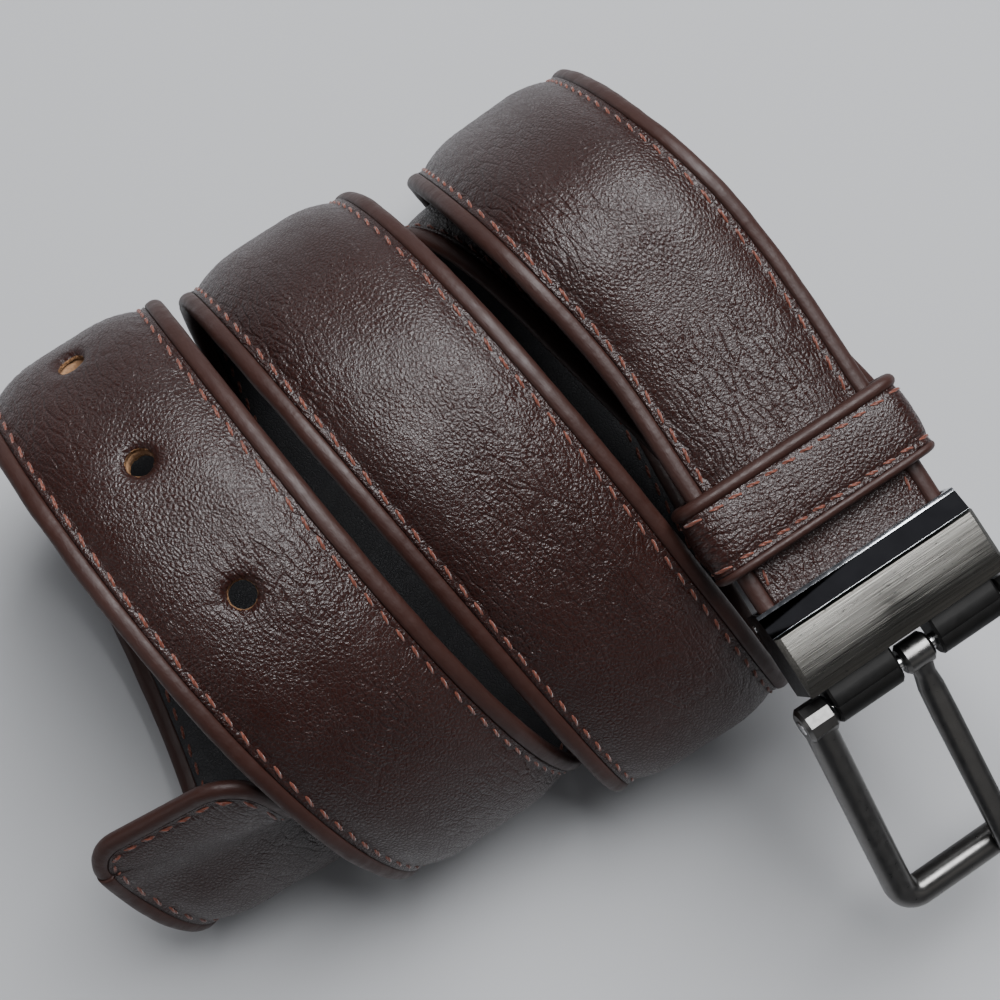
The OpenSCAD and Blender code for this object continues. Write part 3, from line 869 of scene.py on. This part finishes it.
class Shader:
    """A Principled material, with short calls for the nodes behind its sockets."""

    def __init__(self, name, **sockets):
        self.material = bpy.data.materials.new(name)
        self.material.use_nodes = True
        self.tree = self.material.node_tree
        self.body = self.tree.nodes["Principled BSDF"]
        for socket, value in sockets.items():
            self.body.inputs[socket.replace("_", " ")].default_value = value

    def node(self, kind, inputs=None, **settings):
        """A new node. An input is another node's output or a constant."""
        n = self.tree.nodes.new("ShaderNode" + kind)
        for key, value in settings.items():
            setattr(n, key, value)
        for key, value in (inputs or {}).items():
            if isinstance(value, bpy.types.NodeSocket):
                self.tree.links.new(value, n.inputs[key])
            else:
                n.inputs[key].default_value = value
        return n

    def link(self, output, socket):
        self.tree.links.new(output, self.body.inputs[socket])

    def place(self):
        """Coordinates in mm along the piece's own surface."""
        return self.node("Attribute", attribute_name="place").outputs["Vector"]

    def millimetres(self):
        """Coordinates in mm in the belt's frame."""
        at = self.node("TexCoord").outputs["Object"]
        return self.node("VectorMath", {0: at, 3: 1 / MM}, operation="SCALE").outputs[0]

    def stretched(self, at, scale):
        return self.node("VectorMath", {0: at, 1: scale}, operation="MULTIPLY").outputs[0]

    def noise(self, at, scale, detail=3.0, distortion=0.0):
        inputs = {"Vector": at, "Scale": scale, "Detail": detail, "Distortion": distortion}
        return self.node("TexNoise", inputs).outputs["Fac"]

    def edges(self, at, scale):
        """Distance from the edges of scattered cells on the surface."""
        return self.node("TexVoronoi", {"Vector": at, "Scale": scale}, feature="DISTANCE_TO_EDGE",
                         voronoi_dimensions="2D").outputs["Distance"]

    def between(self, value, low, high, to_low=0.0, to_high=1.0):
        """The value's place between low and high, clamped, carried over to the new range."""
        inputs = {"Value": value, "From Min": low, "From Max": high,
                  "To Min": to_low, "To Max": to_high}
        return self.node("MapRange", inputs).outputs["Result"]

    def maths(self, operation, a, b):
        return self.node("Math", {0: a, 1: b}, operation=operation).outputs[0]

    def mixed(self, factor, a, b):
        """A colour between a and b."""
        n = self.node("Mix", {"Factor": factor}, data_type="RGBA", blend_type="MIX")
        for key, value in ((6, a), (7, b)):
            if isinstance(value, bpy.types.NodeSocket):
                self.tree.links.new(value, n.inputs[key])
            else:
                n.inputs[key].default_value = (*value, 1.0)
        return n.outputs[2]

    def bump(self, height, distance, after=None):
        """Relief of that many mm. after is the bump that it goes on top of."""
        inputs = {"Height": height, "Strength": 1.0, "Distance": distance * MM}
        if after is not None:
            inputs["Normal"] = after
        return self.node("Bump", inputs).outputs["Normal"]


def bent(shader, at, amount, scale):
    """Coordinates pushed about by noise, so that lines drawn with them wander."""
    def vector(operation, inputs):
        return shader.node("VectorMath", inputs, operation=operation).outputs[0]

    colour = shader.node("TexNoise", {"Vector": at, "Scale": scale, "Detail": 2.0}).outputs["Color"]
    push = vector("SUBTRACT", {0: colour, 1: (0.5, 0.5, 0.5)})
    return vector("ADD", {0: at, 1: vector("SCALE", {0: push, 3: amount})})


def face_leather():
    """Dark brown, semi-gloss, with fine pebbles and, in patches, long creases, the seams between
    pebbles darkened as painted shade.
    """
    m = Shader("face_leather", Specular_IOR_Level=0.45)
    at = m.place()
    loose = bent(m, at, 0.9, 0.35)
    cells = m.edges(m.stretched(loose, (0.95, 1.1, 1.0)), 1.2)
    strength = m.between(m.noise(at, 0.12, 2.0), 0.35, 0.65, 0.5, 1.1)
    pebbles = m.maths("MULTIPLY", m.between(cells, 0.0, 0.42), strength)
    seams = m.between(cells, 0.0, 0.15)
    fine = m.between(m.edges(bent(m, at, 0.5, 1.2), 2.6), 0.0, 0.4)
    long_cells = m.edges(m.stretched(bent(m, at, 5.0, 0.12), (0.16, 0.6, 1.0)), 1.0)
    patches = m.between(m.noise(at, 0.035, 1.0), 0.42, 0.6)
    creases = m.maths("MAXIMUM", m.between(long_cells, 0.0, 0.16),
                      m.maths("SUBTRACT", 1.0, patches))
    tone = m.mixed(m.noise(at, 0.05, 2.0), (0.016, 0.0045, 0.0034), (0.027, 0.0078, 0.0057))
    # Painted shade: the seams between the pebbles are darkened towards near black
    seam_shade_painted = m.mixed(m.between(seams, 0.0, 1.0, 0.6, 0.0), tone, (0.006, 0.0025, 0.0022))
    m.link(seam_shade_painted, "Base Color")
    gloss = m.between(m.noise(at, 0.4), 0.3, 0.7, 0.25, 0.34)
    m.link(m.maths("ADD", gloss, m.between(seams, 0, 1, 0.22, 0.0)), "Roughness")
    normal = m.bump(creases, 0.11)
    normal = m.bump(pebbles, 0.085, normal)
    normal = m.bump(fine, 0.03, normal)
    m.link(m.bump(m.noise(at, 6.0, 4.0), 0.022, normal), "Normal")
    return m.material


def lining_leather():
    """Black-grey, drier, with a fine even grain whose lines are darkened as painted shade."""
    m = Shader("lining_leather", Specular_IOR_Level=0.35)
    at = m.place()
    grain = m.between(m.edges(bent(m, at, 0.8, 0.8), 1.5), 0.0, 0.2)
    tone = m.mixed(m.noise(at, 0.08, 3.0), (0.019, 0.0185, 0.0205), (0.036, 0.035, 0.038))
    # Painted shade: the grain's lines are darkened towards near black
    m.link(m.mixed(m.between(grain, 0, 1, 0.5, 0.0), tone, (0.008, 0.008, 0.009)), "Base Color")
    m.link(m.between(m.noise(at, 0.6), 0.3, 0.7, 0.48, 0.66), "Roughness")
    m.link(m.bump(m.noise(at, 5.0, 4.0), 0.03, m.bump(grain, 0.05)), "Normal")
    return m.material


def rim_leather():
    """Red-brown rolled edge, smooth and satin, rubbed paler in places."""
    m = Shader("rim_leather", Specular_IOR_Level=0.35)
    at = m.place()
    tone = m.mixed(m.noise(at, 0.12, 3.0), (0.023, 0.0078, 0.0056), (0.036, 0.0125, 0.009))
    rubbed = m.between(m.noise(at, 0.9, 4.0), 0.6, 0.8, 0.0, 0.35)
    m.link(m.mixed(rubbed, tone, (0.055, 0.024, 0.0175)), "Base Color")
    m.link(m.between(m.noise(at, 0.7), 0.3, 0.7, 0.42, 0.56), "Roughness")
    fine = m.bump(m.noise(m.stretched(at, (0.4, 1.5, 1.0)), 2.2, 4.0), 0.05)
    m.link(m.bump(m.noise(at, 0.45, 2.0), 0.12, fine), "Normal")
    return m.material


def hole_fibre():
    """Raw tan fibre on the walls of the punched holes."""
    m = Shader("hole_fibre", Roughness=0.92, Specular_IOR_Level=0.15)
    at = m.place()
    strands = m.noise(at, 2.4, 5.0, 1.5)
    tone = m.mixed(m.between(strands, 0.35, 0.65), (0.05, 0.022, 0.01), (0.3, 0.16, 0.078))
    m.link(tone, "Base Color")
    m.link(m.bump(strands, 0.35), "Normal")
    return m.material


def thread():
    """Rust waxed thread with its twist, painted darker between the plies as painted shade."""
    m = Shader("thread", Roughness=0.5, Specular_IOR_Level=0.4, Sheen_Weight=0.25)
    at = m.place()
    parts = m.node("SeparateXYZ", {0: at}).outputs
    # Place here is along the stitch in mm, and round it in radians: two plies, wound together
    phase = m.maths("ADD", m.maths("MULTIPLY", parts[0], 4.6), m.maths("MULTIPLY", parts[1], 2.0))
    twist = m.maths("SINE", phase, 0.0)
    tone = m.mixed(m.noise(at, 0.3, 2.0), (0.12, 0.027, 0.0135), (0.2, 0.053, 0.028))
    # Painted shade: the grooves between the two plies are darkened
    ply_groove_shade = m.between(twist, -1.0, 0.2, 0.55, 0.0)
    m.link(m.mixed(ply_groove_shade, tone, (0.04, 0.009, 0.006)), "Base Color")
    m.link(m.bump(twist, 0.07), "Normal")
    return m.material


def filler_board():
    """Pressed fibre padding, seen only down the holes."""
    m = Shader("filler_board", Roughness=0.95)
    at = m.place()
    m.link(m.mixed(m.noise(at, 1.6, 4.0), (0.16, 0.08, 0.04), (0.4, 0.23, 0.12)), "Base Color")
    m.link(m.bump(m.noise(at, 3.0, 4.0), 0.2), "Normal")
    return m.material


def brushed_metal():
    """Nickel brushed across the strap, with a few dark nicks."""
    m = Shader("brushed_metal", Metallic=1.0, Anisotropic=0.5)
    at = m.millimetres()
    lines = m.between(m.noise(m.stretched(at, (0.01, 1.9, 1.9)), 2.4, 3.0), 0.36, 0.64)
    fine = m.between(m.noise(m.stretched(at, (0.03, 3.8, 3.8)), 2.4, 2.0), 0.36, 0.64)
    nicks = m.between(m.noise(m.stretched(at, (0.9, 1.7, 1.7)), 0.9, 3.0), 0.65, 0.69)
    tone = m.mixed(lines, (0.085, 0.081, 0.074), (0.125, 0.12, 0.11))
    m.link(m.mixed(m.maths("MULTIPLY", nicks, 0.75), tone, (0.05, 0.048, 0.045)), "Base Color")
    gloss = m.between(fine, 0, 1, 0.24, 0.4)
    m.link(m.maths("ADD", gloss, m.maths("MULTIPLY", nicks, 0.3)), "Roughness")
    m.link(m.bump(fine, 0.008, m.bump(lines, 0.007)), "Normal")
    return m.material


def plain_metal(name, dark, light, low, high, relief):
    """Metal whose tone and roughness, low to high, vary a little over the surface."""
    m = Shader(name, Metallic=1.0)
    at = m.millimetres()
    m.link(m.mixed(m.noise(at, 0.35, 4.0), dark, light), "Base Color")
    m.link(m.between(m.noise(at, 1.1, 5.0), 0.3, 0.7, low, high), "Roughness")
    m.link(m.bump(m.noise(at, 5.0, 5.0), relief), "Normal")
    return m.material


def make_materials():
    return {
        "face": face_leather(),
        "lining": lining_leather(),
        "rim": rim_leather(),
        "fibre": hole_fibre(),
        "thread": thread(),
        "filler": filler_board(),
        "brushed": brushed_metal(),
        "polished": plain_metal("polished_metal", (0.42, 0.43, 0.45), (0.55, 0.56, 0.58),
                                0.1, 0.18, 0.004),
        # Near-black mirror for the clamp's channel, its dark tone a painted reflection of dark
        # surroundings
        "black": plain_metal("painted_reflection_dark_mirror", (0.0012, 0.0012, 0.0014), (0.002, 0.002, 0.0022),
                             0.05, 0.1, 0.001),
        "dark": plain_metal("dark_metal", (0.115, 0.112, 0.108), (0.165, 0.16, 0.155),
                            0.27, 0.38, 0.012),
        "satin": plain_metal("satin_black_metal", (0.026, 0.0255, 0.025), (0.038, 0.037, 0.036),
                             0.4, 0.5, 0.006),
        "steel": plain_metal("steel", (0.5, 0.5, 0.5), (0.62, 0.61, 0.6), 0.18, 0.28, 0.006),
    }


def repaint(node, material):
    """Gives a CAD node that stays in sight its finished material."""
    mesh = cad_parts[node].data
    mesh.materials.clear()
    mesh.materials.append(material)


# ---- stage ----

CAMERA_AT = Vector(COIL_AT + [-84.6, -68.7, 345.7]) * MM
CAMERA_AZIMUTH = math.radians(33.5)
CAMERA_ELEVATION = math.radians(77)
CAMERA_LENS = 67.8
CAMERA_SENSOR = 36.0
FLOOR_REACH = 8.0
FLOOR_TONE = (0.42, 0.42, 0.43, 1)
SKY_TONE = (0.85, 0.9, 1.0, 1)
SKY_STRENGTH = 0.085
LIGHT_AIM = (0, 0, 0.04)
SOFTBOX = (0.96, 0.98, 1.0)
# Each area light's place, size, watts and colour
LIGHTS = {
    "key": ((0.34, 0.2, 0.88), (0.55, 0.75), 19.5, SOFTBOX),
    "back": ((0.1, 1.1, 0.35), (1.2, 0.15), 1.4, SOFTBOX),
    "side": ((-0.8, 0.0, 0.4), (0.4, 0.4), 0.8, (1, 1, 1)),
    "front": ((0.3, -0.8, 0.5), (0.6, 0.4), 0.3, (1.0, 0.97, 0.93)),
}


def add_camera():
    back = Vector((
        -math.sin(CAMERA_AZIMUTH) * math.cos(CAMERA_ELEVATION),
        -math.cos(CAMERA_AZIMUTH) * math.cos(CAMERA_ELEVATION),
        math.sin(CAMERA_ELEVATION)))
    data = bpy.data.cameras.new("camera")
    data.lens = CAMERA_LENS
    data.sensor_width = CAMERA_SENSOR
    data.clip_start = 0.01
    camera = bpy.data.objects.new("camera", data)
    camera.location = CAMERA_AT
    camera.rotation_euler = back.to_track_quat("Z", "Y").to_euler()
    bpy.context.scene.collection.objects.link(camera)
    bpy.context.scene.camera = camera


def add_light(name, location, size, power, colour):
    data = bpy.data.lights.new(name, "AREA")
    data.shape = "RECTANGLE"
    data.size, data.size_y = size
    data.energy = power
    data.color = colour
    light = bpy.data.objects.new(name, data)
    light.location = location
    back = Vector(location) - Vector(LIGHT_AIM)
    light.rotation_euler = back.to_track_quat("Z", "Y").to_euler()
    bpy.context.scene.collection.objects.link(light)


def add_stage():
    """The floor under the belt, the sky and the lights."""
    corners = ((-1, -1), (1, -1), (1, 1), (-1, 1))
    mesh = bpy.data.meshes.new("floor")
    mesh.from_pydata([(x * FLOOR_REACH, y * FLOOR_REACH, cad_box[0][2]) for x, y in corners],
                     [], [(0, 1, 2, 3)])
    shader = Shader("floor", Roughness=0.8, Specular_IOR_Level=0.2, Base_Color=FLOOR_TONE)
    mesh.materials.append(shader.material)
    floor = bpy.data.objects.new("floor", mesh)
    bpy.context.scene.collection.objects.link(floor)
    world = bpy.data.worlds.new("studio")
    world.use_nodes = True
    background = world.node_tree.nodes["Background"]
    background.inputs["Color"].default_value = SKY_TONE
    background.inputs["Strength"].default_value = SKY_STRENGTH
    bpy.context.scene.world = world
    for name, setup in LIGHTS.items():
        add_light(name, *setup)


# ---- the belt ----

add_camera()
materials = make_materials()
strap_layer("strap_face_leather", Punched(face_top, face_under, 18),
            [materials["face"], materials["fibre"]], "strap_face")
strap_layer("strap_lining_leather", Punched(lining_seen, lining_under, 12),
            [materials["lining"], materials["fibre"]], "strap_lining")
strap_layer("strap_filler_board",
            Punched(filler_top, filler_under, 3, PAD_HALF, (PAD_START, STRAP_LEN - PAD_END)),
            [materials["filler"], materials["filler"]], "strap_filler")
strap_rim(materials["rim"])
strap_stitches("face_stitches", face_top, 1, "face_thread", materials["thread"])
strap_stitches("lining_stitches", lining_seen, -1, "lining_thread", materials["thread"])
keeper(materials)
metal_parts(materials)
repaint("keeper_staple", materials["steel"])
add_stage()
